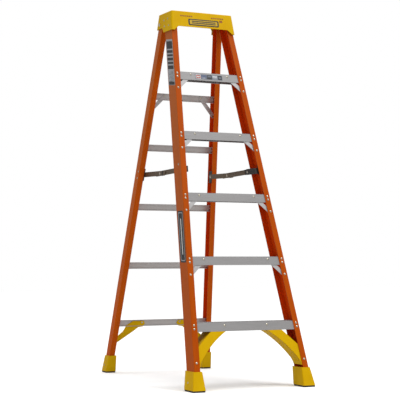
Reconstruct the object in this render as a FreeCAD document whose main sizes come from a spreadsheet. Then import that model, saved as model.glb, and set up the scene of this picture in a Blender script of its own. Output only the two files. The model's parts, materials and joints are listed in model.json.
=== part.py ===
import FreeCAD, Part
import math
import os

import Sketcher
from FreeCAD import Placement, Rotation, Vector

# A-frame step ladder with glass-fibre rails, five steps, a moulded cap, four moulded feet and
# two folding spreaders.  Millimetres.  Z is up, X is across the ladder, and the steps face -Y.
# Z = 0 is the floor.  Both pairs of rails lean and splay by constant slopes, so a point on a
# rail at height z is always a start value plus a slope times z.

DRIVING = {
    # front rails: channel section with its web outward, measured in a level cut
    "front_toe": 547.2,          # front face of the rail ahead of the origin at floor level
    "front_slope": 0.3175,       # how far back the rail goes for each mm up
    "front_half": 291.4,         # outer face of the web from the middle at floor level
    "front_splay": 0.077,        # how far inward the rail goes for each mm up
    "front_depth": 81.9,
    "front_foot": 11.0,
    "front_head": 1744.0,
    "flange": 27.6,
    "rail_wall": 3.6,
    # rear rails
    "rear_toe": 489.5,
    "rear_slope": 0.2333,
    "rear_half": 287.9,
    "rear_splay": 0.075,
    "rear_depth": 48.0,
    "rear_foot": 11.0,
    "rear_head": 1719.0,
    # steps
    "step_first": 291.2,
    "step_pitch": 290.5,
    "apron_height": 37.3,
    "tread_thick": 2.6,
    "apron_thick": 2.2,
    "tread_rib_height": 1.2,
    "tread_rib_width": 2.6,
    "tread_rib_pitch": 6.2,
    # rear bars
    "bar_first": 263.0,
    "bar_pitch": 290.9,
    "bar_last": 1385.0,
    "bar_height": 32.7,
    "bar_thick": 2.4,
    "bar_lip": 6.0,
    # knee braces
    "strip_width": 19.0,
    "strip_thick": 2.5,
    "knee_drop": 79.0,           # lower rivet below the step top
    "knee_reach": 84.0,          # upper rivet inward from the rail's outer face
    "rivet_row_high": 8.0,
    "rivet_row_low": 24.0,
    "rivet_inset": 13.0,
    # cap
    "cap_top": 1757.0,
    "cap_hem": 1661.0,
    "cap_half_top": 161.0,
    "cap_half_hem": 169.2,
    "cap_front_top": 7.4,
    "cap_front_hem": 29.0,
    "cap_back_top": 142.0,
    "cap_back_hem": 158.0,
    "cap_wall": 3.0,
    "cap_plate": 5.0,
    "tray_depth": 3.0,
    "tray_rim": 12.0,
    # rear section hinge
    "hinge_back": 122.0,
    "hinge_height": 1706.0,
    "hinge_bolt": 4.0,
    "hinge_clearance": 0.06,
    # feet
    "boot_top": 86.0,
    "boot_floor": 10.8,
    "boot_hem": 7.0,
    # spreaders
    "arm_height": 24.0,
    "arm_thick": 2.6,
    "arm_pin": 3.6,
    "pin_clearance": 0.06,
    "spread_height": 985.0,
    "front_pin_back": -141.0,
    "rear_pin_back": 266.0,
    "knuckle_back": 77.0,
    "knuckle_height": 980.5,
    "front_tail": 42.0,
    "rear_tail": 52.0,
}

ROOT = "dims"
doc = FreeCAD.newDocument("step_ladder")
sheet = doc.addObject("Spreadsheet::Sheet", ROOT)
for row, (alias, number) in enumerate(DRIVING.items(), start=1):
    sheet.set(f"A{row}", alias)
    sheet.set(f"B{row}", str(number))
    sheet.setAlias(f"B{row}", alias)
doc.recompute()


class Size:
    """A number together with the sheet expression that gives it."""

    def __init__(self, value, text):
        self.value = float(value)
        self.text = text

    @staticmethod
    def of(thing):
        return thing if isinstance(thing, Size) else Size(thing, f"({thing:.6g})")

    def _join(self, other, sign, value):
        return Size(value, f"({self.text} {sign} {Size.of(other).text})")

    def __add__(self, other):
        return self._join(other, "+", self.value + Size.of(other).value)

    def __sub__(self, other):
        return self._join(other, "-", self.value - Size.of(other).value)

    def __mul__(self, other):
        return self._join(other, "*", self.value * Size.of(other).value)

    def __truediv__(self, other):
        return self._join(other, "/", self.value / Size.of(other).value)

    def __radd__(self, other):
        return Size.of(other) + self

    def __rsub__(self, other):
        return Size.of(other) - self

    def __rmul__(self, other):
        return Size.of(other) * self

    def __neg__(self):
        return Size(-self.value, f"(-1 * {self.text})")


def dim(alias):
    return Size(sheet.get(alias), f"<<{ROOT}>>.{alias}")


def num(thing):
    return Size.of(thing).value


def vec(x, y, z):
    return Vector(num(x), num(y), num(z))


def bind(target, prop, size):
    target.setExpression(prop, Size.of(size).text)


# ---------------------------------------------------------------- where the rails are

front_slope = dim("front_slope")
rear_slope = dim("rear_slope")
WALL_LEAN_FRONT = math.hypot(1.0, front_slope.value)      # level cut through a leaning wall
WALL_LEAN_REAR = math.hypot(1.0, rear_slope.value)
front_wall = dim("rail_wall") * WALL_LEAN_FRONT
rear_wall = dim("rail_wall") * WALL_LEAN_REAR


def front_face(z):
    """Y of the front rails' front face at height z."""
    return front_slope * z - dim("front_toe")


def front_web(z):
    """Distance of the front rails' outer face from the middle at height z."""
    return dim("front_half") - dim("front_splay") * z


def rear_face(z):
    """Y of the rear rails' front face at height z."""
    return dim("rear_toe") - rear_slope * z


def rear_web(z):
    return dim("rear_half") - dim("rear_splay") * z


def unit(x, y, z):
    return Vector(x, y, z).normalize()


FRONT_OUT = unit(0, -1, front_slope.value)                # square to the front flanges
REAR_OUT = unit(0, 1, rear_slope.value)                   # square to the rear flanges
SIDES = {"left": -1, "right": 1}


def web_out(side, splay_alias):
    return unit(side, 0, dim(splay_alias).value)


# ---------------------------------------------------------------- making bodies


def plane(body, role):
    return next(item for item in body.Origin.OriginFeatures if item.Role == role)


def new_body(name):
    body = doc.addObject("PartDesign::Body", name)
    body.Label = name
    return body


def new_sketch(body, role, name, offset=0):
    """A sketch on one of the body's own planes, moved along the plane's normal."""
    sketch = body.newObject("Sketcher::SketchObject", name)
    sketch.AttachmentSupport = [(plane(body, role), "")]
    sketch.MapMode = "FlatFace"
    bind(sketch, "AttachmentOffset.Base.z", offset)
    sketch.AttachmentOffset.Base.z = num(offset)
    return sketch


def pin_point(sketch, geo, pos, across, up, tag):
    for kind, size in (("DistanceX", across), ("DistanceY", up)):
        index = sketch.addConstraint(Sketcher.Constraint(kind, -1, 1, geo, pos, num(size)))
        name = f"{tag}{kind[-1]}"
        sketch.renameConstraint(index, name)
        bind(sketch, f"Constraints.{name}", size)


def outline(sketch, corners, bulges=None, tag="p"):
    """A closed outline through the corners; bulges gives an arc's radius from a corner on."""
    bulges = bulges or {}
    spots = [Vector(num(a), num(b), 0) for a, b in corners]
    count = len(spots)
    first = sketch.GeometryCount
    starts = []
    for i, start in enumerate(spots):
        end = spots[(i + 1) % count]
        if i in bulges:
            radius = bulges[i]
            chord = end - start
            half = chord.Length / 2
            size = abs(num(radius))
            rise = size - math.sqrt(size * size - half * half)
            normal = Vector(-chord.y, chord.x, 0).normalize()
            middle = (start + end) * 0.5 + normal * math.copysign(rise, num(radius))
            flipped = num(radius) > 0              # sketch arcs always run anticlockwise
            low, high = (end, start) if flipped else (start, end)
            geo = sketch.addGeometry(Part.ArcOfCircle(low, middle, high), False)
            index = sketch.addConstraint(Sketcher.Constraint("Radius", geo, size))
            sketch.renameConstraint(index, f"{tag}radius{i}")
            starts.append((2, 1) if flipped else (1, 2))
        else:
            sketch.addGeometry(Part.LineSegment(start, end), False)
            starts.append((1, 2))
    for i in range(count):
        after = (i + 1) % count
        sketch.addConstraint(Sketcher.Constraint(
            "Coincident", first + i, starts[i][1], first + after, starts[after][0]))
    for i, (across, up) in enumerate(corners):
        pin_point(sketch, first + i, starts[i][0], across, up, f"{tag}{i}")


def box_corners(side, low_x, high_x, low_y, high_y):
    return [(side * low_x, low_y), (side * high_x, low_y), (side * high_x, high_y),
            (side * low_x, high_y)]


def circle(sketch, across, up, radius, tag="c"):
    geo = sketch.addGeometry(Part.Circle(vec(across, up, 0), Vector(0, 0, 1), num(radius)), False)
    pin_point(sketch, geo, 3, across, up, tag)
    index = sketch.addConstraint(Sketcher.Constraint("Radius", geo, num(radius)))
    sketch.renameConstraint(index, f"{tag}radius")
    bind(sketch, f"Constraints.{tag}radius", radius)


def rounded_box(sketch, corners, radius):
    """An upright rectangle with rounded corners, from four corners in order."""
    spots = []
    bulges = {}
    across = [num(corner[0]) for corner in corners]
    up = [num(corner[1]) for corner in corners]
    turn = across[0] * up[1] - across[1] * up[0]
    for i in range(1, len(corners)):
        after = (i + 1) % len(corners)
        turn += across[i] * up[after] - across[after] * up[i]
    for i, (a, b) in enumerate(corners):
        before = corners[i - 1]
        after = corners[(i + 1) % len(corners)]
        for other in (before, after):
            if abs(num(other[0]) - num(a)) > abs(num(other[1]) - num(b)):
                spots.append((a + math.copysign(radius, num(other[0]) - num(a)), b))
            else:
                spots.append((a, b + math.copysign(radius, num(other[1]) - num(b))))
        bulges[2 * i] = math.copysign(radius, -turn)
    outline(sketch, spots, bulges)


def pad(body, sketch, length, along=None, both=False, name="Pad"):
    """A pad; along is a slanted direction whose height is still the stated length."""
    feature = body.newObject("PartDesign::Pad", name)
    feature.Profile = sketch
    feature.Length = num(length)
    bind(feature, "Length", length)
    feature.Midplane = both
    if along is not None:
        feature.UseCustomVector = True
        feature.Direction = along
        feature.AlongSketchNormal = True
    return feature


def pocket(body, sketch, length, reverse=False, both=False, through=False, name="Pocket"):
    feature = body.newObject("PartDesign::Pocket", name)
    feature.Profile = sketch
    feature.Length = num(length)
    bind(feature, "Length", length)
    feature.Reversed = reverse
    feature.Midplane = both
    if through:
        feature.Type = 1
    return feature


def round_edges(body, feature, radius, wanted, name="Fillet"):
    """Round the feature's edges that the test picks."""
    doc.recompute()
    names = [f"Edge{i}" for i, edge in enumerate(feature.Shape.Edges, start=1) if wanted(edge)]
    if not names:
        raise RuntimeError(f"no edges to round on {body.Label}")
    fillet = body.newObject("PartDesign::Fillet", name)
    fillet.Base = (feature, names)
    fillet.Radius = radius
    body.Tip = fillet
    return fillet


parts = {}          # node name -> document object that holds its finished shape
drillings = {}      # node name -> list of (start, direction, radius, length)


def keep(name, thing):
    parts[name] = thing
    return thing


# ---------------------------------------------------------------- rails


def channel(name, side, half, face, depth, wall, slope, splay, foot, head):
    """A leaning, splayed channel rail with its web outward."""
    body = new_body(f"{name}_blank")
    outer = half - splay * foot
    front = face(foot)
    back = front + depth
    tip = outer - dim("flange")
    inner = outer - dim("rail_wall")
    sketch = new_sketch(body, "XY_Plane", f"{name}_section", foot)
    outline(sketch, [(outer * side, front), (outer * side, back), (tip * side, back),
                     (tip * side, back - wall), (inner * side, back - wall),
                     (inner * side, front + wall), (tip * side, front + wall),
                     (tip * side, front)])
    run = Vector(-side * num(splay), num(slope), 1)
    blank = pad(body, sketch, head - foot, along=run)
    heel = num(outer) * side

    def web_corner(edge):
        low = min((v.Point for v in edge.Vertexes), key=lambda point: point.z)
        long_edge = edge.Length > 0.9 * (num(head) - num(foot))
        return long_edge and abs(low.x - heel) < 0.01

    round_edges(body, blank, 2.4, web_corner)
    return keep(name, body)


for word, side in SIDES.items():
    channel(f"front_rail_{word}", side, dim("front_half"), front_face, dim("front_depth"),
            front_wall, front_slope, dim("front_splay"), dim("front_foot"), dim("front_head"))
    channel(f"rear_rail_{word}", side, dim("rear_half"), rear_face, dim("rear_depth"),
            rear_wall, -rear_slope, dim("rear_splay"), dim("rear_foot"), dim("rear_head"))

# ---------------------------------------------------------------- rivets

HEAD_RADIUS = 5.2
HEAD_RISE = 2.6
SHANK_RADIUS = 3.1
TAIL_RADIUS = 4.4
TAIL_RISE = 1.8


def dome(centre, out, radius, rise):
    """A spherical button standing on the point, bulging outward."""
    sphere = (radius * radius + rise * rise) / (2 * rise)
    base_angle = math.degrees(math.asin((sphere - rise) / sphere))
    return Part.makeSphere(sphere, centre - out * (sphere - rise), out, base_angle, 90, 360)


def rivet(point, out, grip, holes, head=HEAD_RADIUS, shank=SHANK_RADIUS):
    """A button-headed rivet whose head sits on the point; holes names the nodes it goes through."""
    overlap = 0.05
    stem = Part.makeCylinder(shank, grip + 2 * overlap, point + out * overlap, -out)
    tail = Part.makeCylinder(min(TAIL_RADIUS, head), TAIL_RISE, point - out * grip, -out)
    solid = dome(point, out, head, HEAD_RISE).fuse([stem, tail]).removeSplitter()
    for node in holes:
        drillings.setdefault(node, []).append((point + out * 8, -out, shank, grip + 16))
    return solid.Solids[0]


def rivet_group(name, solids):
    group = doc.addObject("Part::Feature", name)
    group.Shape = Part.makeCompound(solids)
    group.Placement = Placement()
    return keep(name, group)


# ---------------------------------------------------------------- steps and their knee braces

STEP_COUNT = 5
step_rivets = []
knee_rivets = []


def step_top(number):
    return dim("step_first") + dim("step_pitch") * (number - 1)


def make_step(number):
    """An extruded tread: ribbed top, two leaning aprons, and a small lip inside each apron."""
    name = f"step_{number}"
    top = step_top(number)
    body = new_body(f"{name}_blank")
    drop = dim("apron_height")
    apron = dim("apron_thick") * WALL_LEAN_FRONT
    front = front_wall
    back = dim("front_depth") - front_wall
    lip = 5.0
    lip_thick = 2.0

    def leaning(offset, below):
        return offset - front_slope * below, -Size.of(below)

    section = new_sketch(body, "YZ_Plane", f"{name}_section")
    outline(section, [
        leaning(front, 0), leaning(back, 0), leaning(back, drop),
        leaning(back - apron - lip, drop), leaning(back - apron - lip, drop - lip_thick),
        leaning(back - apron, drop - lip_thick), leaning(back - apron, dim("tread_thick")),
        leaning(front + apron, dim("tread_thick")), leaning(front + apron, drop - lip_thick),
        leaning(front + apron + lip, drop - lip_thick), leaning(front + apron + lip, drop),
        leaning(front, drop)])
    half = front_web(top) - dim("rail_wall") - 0.2
    pad(body, section, half * 2, both=True)
    ribs = new_sketch(body, "YZ_Plane", f"{name}_rib")
    rib_start = front + 4.0
    rib_foot = dim("tread_rib_width")
    outline(ribs, [(rib_start, -0.4), (rib_start + rib_foot, -0.4),
                   (rib_start + rib_foot, dim("tread_rib_height")),
                   (rib_start, dim("tread_rib_height"))])
    rib = pad(body, ribs, half * 2 - 8.0, both=True, name="Rib")
    pattern = body.newObject("PartDesign::LinearPattern", f"{name}_ribs")
    pattern.Originals = [rib]
    pattern.Direction = (plane(body, "Y_Axis"), [""])
    pattern.Occurrences = 11
    pattern.Length = num(dim("tread_rib_pitch") * 10)
    bind(pattern, "Length", dim("tread_rib_pitch") * 10)
    body.Tip = pattern
    body.Placement = Placement(vec(0, front_face(top), top), Rotation())
    bind(body, "Placement.Base.y", front_face(top))
    bind(body, "Placement.Base.z", top)
    keep(name, body)

    grip = num(dim("rail_wall") + dim("apron_thick"))
    for word, side in SIDES.items():
        for row in ("rivet_row_high", "rivet_row_low"):
            height = top - dim(row)
            across = side * (front_web(height) - dim("rivet_inset"))
            holes = [name, f"front_rail_{word}"]
            step_rivets.append(rivet(vec(across, front_face(height), height), FRONT_OUT, grip, holes))
            lower = height - 3.0
            behind = front_face(lower) + dim("front_depth")
            step_rivets.append(rivet(vec(across, behind, lower), -FRONT_OUT, grip, holes))


def make_knee_brace(number, word, side):
    """A strip behind the step's apron and the rail's flange, with a spacer tab at the rail."""
    name = f"knee_brace_{number}_{word}"
    top = step_top(number)
    low_z = top - dim("knee_drop")
    high_z = top - 10.0
    low_x = side * (front_web(low_z) - 13.4)
    high_x = side * (front_web(high_z) - dim("knee_reach"))
    rise = (high_z - low_z) * WALL_LEAN_FRONT
    run = high_x - low_x
    length = math.hypot(num(rise), num(run))
    radius = num(dim("strip_width")) / 2
    along = (num(run) / length, num(rise) / length)
    beside = (-along[1] * radius, along[0] * radius)
    body = new_body(f"{name}_blank")
    strip = new_sketch(body, "XZ_Plane", f"{name}_strip")
    corners = [(Size.of(beside[0]), Size.of(beside[1])), (Size.of(-beside[0]), Size.of(-beside[1])),
               (run - beside[0], rise - beside[1]), (run + beside[0], rise + beside[1])]
    outline(strip, corners, {0: -radius * 1.0001, 2: -radius * 1.0001})
    layer = dim("rail_wall") + dim("apron_thick")
    feature = pad(body, strip, dim("strip_thick"), name="Strip")
    feature.Reversed = True
    tab = new_sketch(body, "XZ_Plane", f"{name}_tab", dim("apron_thick"))
    circle(tab, 0, 0, radius - 0.6)
    spacer = pad(body, tab, dim("apron_thick") + 0.2, name="Tab")
    spacer.Reversed = True
    turn = Rotation(Vector(1, 0, 0), -math.degrees(math.atan(front_slope.value)))
    spot = vec(low_x, front_face(low_z), low_z) - FRONT_OUT * num(layer)
    body.Placement = Placement(spot, turn)
    keep(name, body)

    grip_low = num(layer + dim("strip_thick"))
    knee_rivets.append(rivet(vec(low_x, front_face(low_z), low_z), FRONT_OUT, grip_low,
                             [name, f"front_rail_{word}"]))
    face = vec(high_x, front_face(high_z), high_z) - FRONT_OUT * num(dim("rail_wall"))
    knee_rivets.append(rivet(face, FRONT_OUT, num(dim("apron_thick") + dim("strip_thick")),
                             [name, f"step_{number}"]))


for number in range(1, STEP_COUNT + 1):
    make_step(number)
    if number > 1:
        for word, side in SIDES.items():
            make_knee_brace(number, word, side)

# ---------------------------------------------------------------- rear bars and their braces

BAR_COUNT = 5
rear_rivets = []
notches = {}        # node name -> bodies that its lips are cut away for
rear_back = dim("rear_depth") - rear_wall


def rear_spot(across, z, layer):
    """A point at height z and square depth layer behind the rear rails' front face."""
    return vec(across, rear_face(z) + layer * WALL_LEAN_REAR, z)


def bar_top(number):
    return dim("bar_last") if number == BAR_COUNT else dim("bar_first") + dim("bar_pitch") * (number - 1)


def make_bar(number):
    """A shallow channel riveted inside the rear flanges, its lips turned forward."""
    name = f"rear_bar_{number}"
    top = bar_top(number)
    body = new_body(f"{name}_blank")
    web = rear_back - dim("bar_thick") * WALL_LEAN_REAR
    front = web - dim("bar_lip")
    high = dim("bar_height")
    lip = 2.0

    def leaning(offset, below):
        return offset + rear_slope * below, -Size.of(below)

    section = new_sketch(body, "YZ_Plane", f"{name}_section")
    outline(section, [leaning(rear_back, 0), leaning(rear_back, high), leaning(front, high),
                      leaning(front, high - lip), leaning(web, high - lip), leaning(web, lip),
                      leaning(front, lip), leaning(front, 0)])
    half = rear_web(top) - dim("rail_wall") - 0.2
    pad(body, section, half * 2, both=True)
    body.Placement = Placement(vec(0, rear_face(top), top), Rotation())
    bind(body, "Placement.Base.y", rear_face(top))
    bind(body, "Placement.Base.z", top)
    keep(name, body)
    grip = num(dim("rail_wall") + dim("bar_thick"))
    for word, side in SIDES.items():
        for row in ("rivet_row_high", "rivet_row_low"):
            height = top - dim(row)
            across = side * (rear_web(height) - dim("rivet_inset"))
            behind = rear_face(height) + dim("rear_depth")
            rear_rivets.append(rivet(vec(across, behind, height), REAR_OUT, grip,
                                     [name, f"rear_rail_{word}"]))


def make_rear_knee_brace(word, side):
    """A strip in front of the top bar's web that runs down to the rear flange."""
    name = f"rear_knee_brace_{word}"
    low_z = dim("bar_last") - 96.0
    high_z = dim("bar_last") - 12.0
    low_x = side * (rear_web(low_z) - 13.4)
    high_x = side * (rear_web(high_z) - 86.0)
    radius = num(dim("strip_width")) / 2
    rise = (high_z - low_z) * WALL_LEAN_REAR
    run = high_x - low_x
    length = math.hypot(num(rise), num(run))
    beside = (-num(rise) / length * radius, num(run) / length * radius)
    body = new_body(f"{name}_blank")
    strip = new_sketch(body, "XZ_Plane", f"{name}_strip")
    outline(strip, [(Size.of(beside[0]), Size.of(beside[1])), (Size.of(-beside[0]), Size.of(-beside[1])),
                    (run - beside[0], rise - beside[1]), (run + beside[0], rise + beside[1])],
            {0: -radius * 1.0001, 2: -radius * 1.0001})
    pad(body, strip, dim("strip_thick"), name="Strip")
    tab = new_sketch(body, "XZ_Plane", f"{name}_tab", 0.2)
    circle(tab, 0, 0, radius - 0.6)
    spacer = pad(body, tab, dim("bar_thick") + 0.2, name="Tab")
    spacer.Reversed = True
    layer = num(rear_depth_square - dim("rail_wall") - dim("bar_thick"))
    turn = Rotation(Vector(1, 0, 0), math.degrees(math.atan(rear_slope.value)))
    body.Placement = Placement(rear_spot(low_x, low_z, layer), turn)
    keep(name, body)
    notches.setdefault(f"rear_bar_{BAR_COUNT}", []).append(body)
    low = vec(low_x, rear_face(low_z) + dim("rear_depth"), low_z)
    grip = num(dim("rail_wall") + dim("bar_thick") + dim("strip_thick"))
    rear_rivets.append(rivet(low, REAR_OUT, grip, [name, f"rear_rail_{word}"]))
    face = rear_spot(high_x, high_z, layer - num(dim("strip_thick")))
    rear_rivets.append(rivet(face, -REAR_OUT, num(dim("bar_thick") + dim("strip_thick")),
                             [name, f"rear_bar_{BAR_COUNT}"]))


rear_depth_square = dim("rear_depth") / WALL_LEAN_REAR    # channel depths square to the flanges
front_depth_square = dim("front_depth") / WALL_LEAN_FRONT

for number in range(1, BAR_COUNT + 1):
    make_bar(number)
for word, side in SIDES.items():
    make_rear_knee_brace(word, side)

# ---------------------------------------------------------------- moulded braces at the foot

lower_rivets = []
BRACE_PLATE = 3.4


def make_lower_front_brace(word, side):
    """A hollow arched bracket from the lowest step down into the rail's channel."""
    name = f"lower_front_brace_{word}"
    body = new_body(f"{name}_blank")
    under = dim("step_first") - dim("apron_height") - 0.3
    foot = dim("boot_top") + 12.0
    lean = math.atan(front_slope.value)
    level = Vector(0, math.cos(lean), math.sin(lean))

    def at(across, height):
        return side * across, height * WALL_LEAN_FRONT + dim("rail_wall") * front_slope

    def web_inside(height, gap):
        return front_web(height) - dim("rail_wall") - gap

    outer = [at(Size.of(105.0), under), at(Size.of(238.0), Size.of(133.0)), at(Size.of(254.0), foot),
             at(web_inside(foot, 0.3), foot), at(web_inside(172.0, 0.3), Size.of(172.0)),
             at(Size.of(250.0), Size.of(188.0)), at(Size.of(178.0), under)]
    inner = [at(Size.of(121.0), under - 3.4), at(Size.of(241.5), Size.of(137.5)),
             at(Size.of(257.8), foot + 4.0), at(web_inside(foot, 4.0), foot + 4.0),
             at(web_inside(169.0, 4.0), Size.of(169.0)), at(Size.of(247.6), Size.of(184.6)),
             at(Size.of(176.2), under - 3.4)]
    arch = {0: 478.0 * side, 1: 82.0 * side}
    face = new_sketch(body, "XZ_Plane", f"{name}_face", -dim("rail_wall"))
    outline(face, outer, arch)
    front = pad(body, face, BRACE_PLATE, along=level, name="Face")
    rim = new_sketch(body, "XZ_Plane", f"{name}_rim", -(dim("rail_wall") + BRACE_PLATE - 0.4))
    outline(rim, outer, arch, "o")
    outline(rim, inner, arch, "i")
    depth = front_depth_square - dim("rail_wall") * 2 - BRACE_PLATE + 0.2
    pad(body, rim, depth, along=level, name="Rim")
    tab = new_sketch(body, "XZ_Plane", f"{name}_tab", -(dim("rail_wall") + dim("apron_thick")))
    outline(tab, [at(Size.of(97.0), dim("step_first") - 5.0), at(Size.of(118.0), under - 8.0),
                  at(Size.of(172.0), under - 8.0), at(Size.of(178.0), dim("step_first") - 5.0)])
    tongue = pad(body, tab, 3.0, name="Tongue")
    tongue.Reversed = True
    turn = Rotation(Vector(1, 0, 0), -math.degrees(lean))
    body.Placement = Placement(vec(0, front_face(0), 0), turn)
    keep(name, body)
    notches.setdefault("step_1", []).append(body)
    high = dim("step_first") - 11.0
    spot = vec(side * 106.0, front_face(high), high) - FRONT_OUT * num(dim("rail_wall"))
    lower_rivets.append(rivet(spot, FRONT_OUT, num(dim("apron_thick")) + 3.0, [name, "step_1"]))
    low = Size.of(123.0)
    spot = vec(side * (front_web(low) - 13.5), front_face(low), low)
    lower_rivets.append(rivet(spot, FRONT_OUT, num(dim("rail_wall")) + BRACE_PLATE,
                              [name, f"front_rail_{word}"]))
    return front


def make_lower_rear_brace(word, side):
    """A moulded arm from the lowest rear bar's face down to the rear flange."""
    name = f"lower_rear_brace_{word}"
    body = new_body(f"{name}_blank")
    plate = 3.2
    slack = 0.04                                  # keeps the moulding just off the metal behind it

    layer = num(rear_depth_square - dim("rail_wall") - dim("bar_thick"))

    def at(across, height):
        return side * Size.of(across), Size.of(height) * WALL_LEAN_REAR - layer * rear_slope

    bar_low = num(bar_top(1) - dim("bar_height"))
    web_low = num(rear_web(122.0) - dim("rail_wall")) - 0.4
    web_high = num(rear_web(146.0) - dim("rail_wall")) - 0.4
    arm = [at(web_low, 122.0), at(146.0, 208.0), at(124.0, 225.0), at(98.0, 229.0), at(88.0, 243.0),
           at(94.0, 257.0), at(154.0, 257.0), at(190.0, 235.0), at(204.0, 205.0), at(250.0, 165.0),
           at(web_high, 146.0)]
    face = new_sketch(body, "XZ_Plane", f"{name}_face", -(rear_depth_square - dim("rail_wall")
                                                          - dim("bar_thick") - slack))
    outline(face, arm, {3: 24.0 * -side, 4: 24.0 * -side})
    pad(body, face, plate - slack, name="Face")
    back = new_sketch(body, "XZ_Plane", f"{name}_back", -(rear_depth_square - dim("rail_wall") - slack))
    outline(back, [at(web_low, 122.0), at(146.0, 208.0), at(128.0, bar_low - 1.0),
                   at(190.0, bar_low - 1.0), at(204.0, 205.0), at(250.0, 165.0),
                   at(web_high, 146.0)])
    pad(body, back, dim("bar_thick") + 0.4, name="Back")
    turn = Rotation(Vector(1, 0, 0), math.degrees(math.atan(rear_slope.value)))
    body.Placement = Placement(vec(0, rear_face(0), 0), turn)
    keep(name, body)
    notches.setdefault("rear_bar_1", []).append(body)
    high = Size.of(248.0)
    spot = rear_spot(side * 105.0, high, layer - plate)
    rear_rivets.append(rivet(spot, -REAR_OUT, plate + num(dim("bar_thick")), [name, "rear_bar_1"]))
    low = Size.of(146.0)
    spot = vec(side * (rear_web(low) - 13.5), rear_face(low) + dim("rear_depth"), low)
    rear_rivets.append(rivet(spot, REAR_OUT, num(dim("rail_wall") + dim("bar_thick")) + plate,
                             [name, f"rear_rail_{word}"]))


for word, side in SIDES.items():
    make_lower_front_brace(word, side)
    make_lower_rear_brace(word, side)

# ---------------------------------------------------------------- feet

FEET = {
    # x beyond the web and inside it, y ahead of the rail's face and behind it: hem, then top
    "front": {"web": front_web, "face": front_face, "slope": front_slope,
              "hem": (13.0, 48.0, 3.0, 93.0), "top": (5.6, 37.0, 3.0, 85.2), "rivet": 53.0},
    "rear": {"web": rear_web, "face": rear_face, "slope": -rear_slope,
             "hem": (6.6, 46.0, 3.6, 60.1), "top": (5.6, 37.0, 3.0, 52.0), "rivet": 36.0},
}


def make_foot(end, word, side):
    """A flared moulded boot round the rail's end, and the rubber pad under it."""
    spec = FEET[end]
    name = f"{end}_boot_{word}"
    body = new_body(f"{name}_blank")
    sections = []
    for level, key in ((dim("boot_hem"), "hem"), (dim("boot_top"), "top")):
        out, into, ahead, behind = spec[key]
        sketch = new_sketch(body, "XY_Plane", f"{name}_{key}", level)
        web, face = spec["web"](level), spec["face"](level)
        rounded_box(sketch, box_corners(side, web - into, web + out, face - ahead, face + behind),
                    4.5)
        sections.append(sketch)
    loft = body.newObject("PartDesign::AdditiveLoft", "Flare")
    loft.Profile = sections[0]
    loft.Sections = [sections[1]]
    loft.Ruled = True

    former = new_body(f"{name}_socket")
    level = dim("boot_floor")
    web, face = spec["web"](level), spec["face"](level)
    depth = dim(f"{end}_depth")
    base = new_sketch(former, "XY_Plane", f"{name}_socket_base", level)
    outline(base, box_corners(side, web - dim("flange") - 0.3, web + 0.15, face - 0.15,
                              face + depth + 0.15))
    splay = dim(f"{end}_splay")
    pad(former, base, 120.0, along=Vector(-side * num(splay), num(spec["slope"]), 1))
    shell = doc.addObject("Part::Cut", f"{name}_shell")
    shell.Base = body
    shell.Tool = former
    keep(name, shell)

    pad_name = f"{end}_pad_{word}"
    tread = new_body(f"{pad_name}_blank")
    hem = dim("boot_hem")
    out, into, ahead, behind = spec["hem"]
    web, face = spec["web"](hem), spec["face"](hem)
    foot = new_sketch(tread, "XY_Plane", f"{pad_name}_outline")
    outline(foot, box_corners(side, web - into + 3.0, web + out - 2.5, face - ahead + 1.0,
                              face + behind - 3.0))
    block = pad(tread, foot, hem)

    def lower(edge):
        return max(v.Point.z for v in edge.Vertexes) < 0.01

    doc.recompute()
    names = [f"Edge{i}" for i, edge in enumerate(block.Shape.Edges, start=1) if lower(edge)]
    chamfer = tread.newObject("PartDesign::Chamfer", "Chamfer")
    chamfer.Base = (block, names)
    chamfer.Size = 1.4
    tread.Tip = chamfer
    keep(pad_name, tread)

    height = Size.of(38.0)
    web, face = spec["web"](height), spec["face"](height)
    share = (num(height) - num(hem)) / (num(dim("boot_top")) - num(hem))
    wall = spec["hem"][0] + (spec["top"][0] - spec["hem"][0]) * share
    flare = num(dim(f"{end}_splay"))
    flare += (spec["hem"][0] - spec["top"][0]) / (num(dim("boot_top")) - num(hem))
    spot = vec(side * (web + wall + 0.02), face + spec["rivet"], height)
    group = lower_rivets if end == "front" else rear_rivets
    group.append(rivet(spot, unit(side, 0, flare), wall + num(dim("rail_wall")) + 0.6,
                       [name, f"{end}_rail_{word}"], head=4.6))


for end in FEET:
    for word, side in SIDES.items():
        make_foot(end, word, side)

# ---------------------------------------------------------------- cap

cap_rivets = []


def between(low, high, z):
    """A cap size at height z, from its size at the hem and at the top."""
    share = (z - dim("cap_hem")) / (dim("cap_top") - dim("cap_hem"))
    return dim(low) + (dim(high) - dim(low)) * share


def cap_ring(z, inset_side, inset_end):
    half = between("cap_half_hem", "cap_half_top", z) - inset_side
    front = -between("cap_front_hem", "cap_front_top", z) + inset_end
    back = between("cap_back_hem", "cap_back_top", z) - inset_end
    return [(-half, front), (half, front), (half, back), (-half, back)]


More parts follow.
